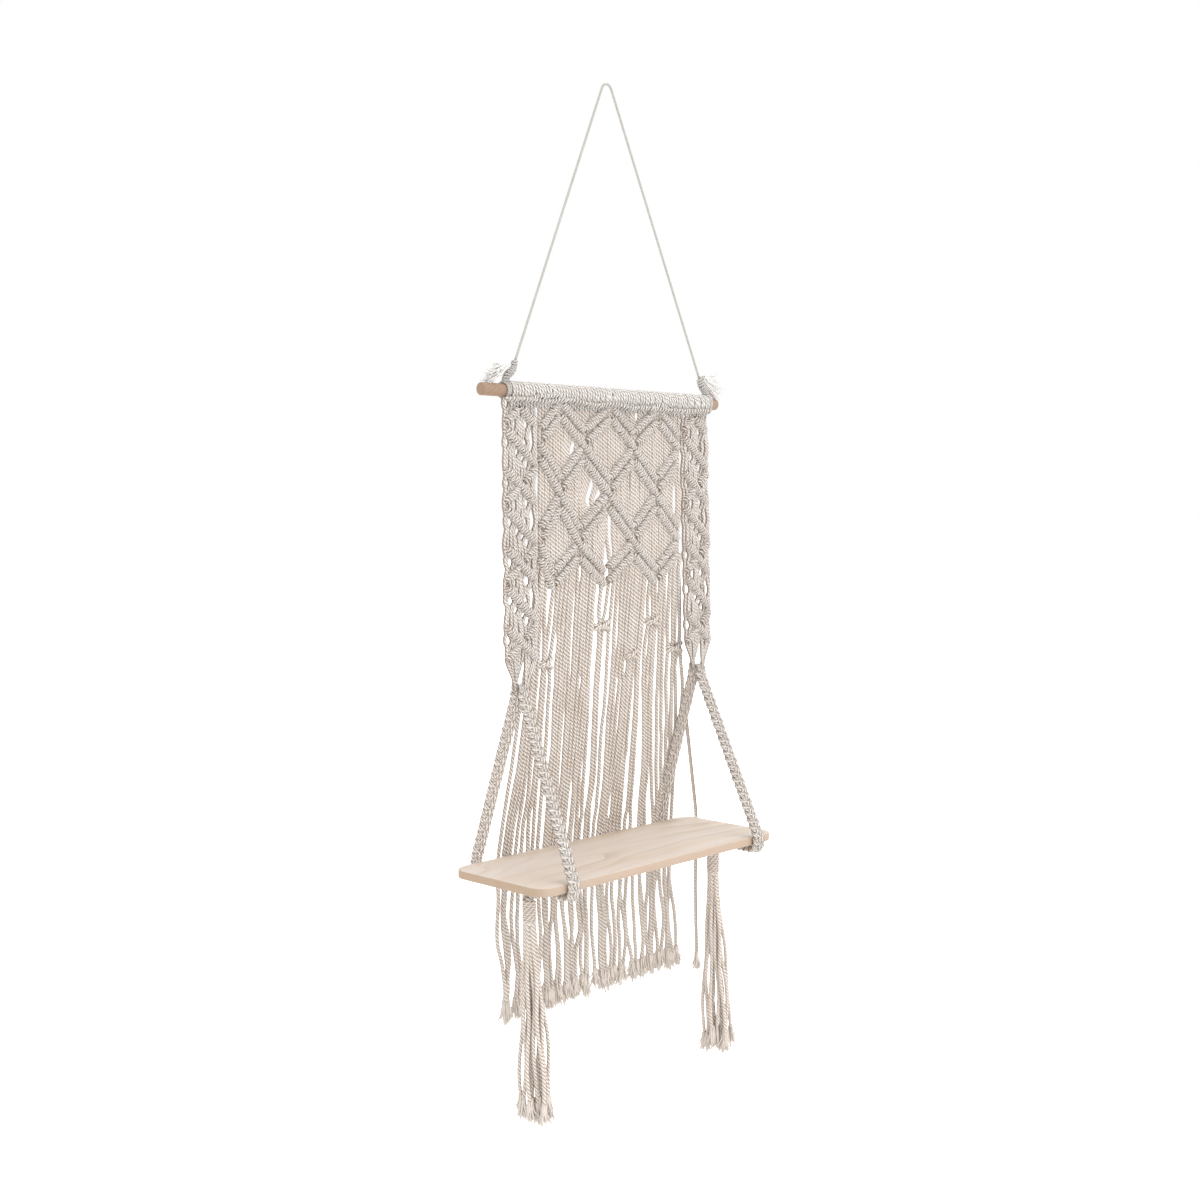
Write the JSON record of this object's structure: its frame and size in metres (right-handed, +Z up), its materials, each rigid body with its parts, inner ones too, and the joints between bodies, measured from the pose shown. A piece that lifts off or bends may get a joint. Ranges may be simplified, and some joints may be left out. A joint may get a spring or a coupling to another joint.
{
  "type": "macrame wall shelf with hanging rod and wooden board",
  "caption": "Knotted cotton wall hanging on a wooden rod, with a pine shelf board held by braids in front of its long fringe.",
  "frame": {"origin": "underside of the hanging cord at its apex, where a wall hook bears", "axes": "+Z up, +X to the right along the rod seen from the front, +Y into the wall, so the front faces -Y"},
  "size_m": [0.4402, 0.1819, 1.2485],
  "materials": {
    "cotton": "matte twisted cotton cord",
    "hanger_cotton": "matte thin cotton cord",
    "pine": "sanded pine, open grain",
    "rod_wood": "smooth turned wood"
  },
  "bodies": {
    "root": {"hanging_cord": "hanger_cotton", "hanger_knot_left": "hanger_cotton", "hanger_knot_right": "hanger_cotton", "rod": "rod_wood", "heading": "cotton", "panel": "cotton", "strap_left": "cotton", "strap_right": "cotton", "fringe": "cotton", "braid_front_left": "cotton", "braid_back_left": "cotton", "braid_front_right": "cotton", "braid_back_right": "cotton", "tassel_left": "cotton", "tassel_right": "cotton", "board": "pine"}
  },
  "joints": []
}
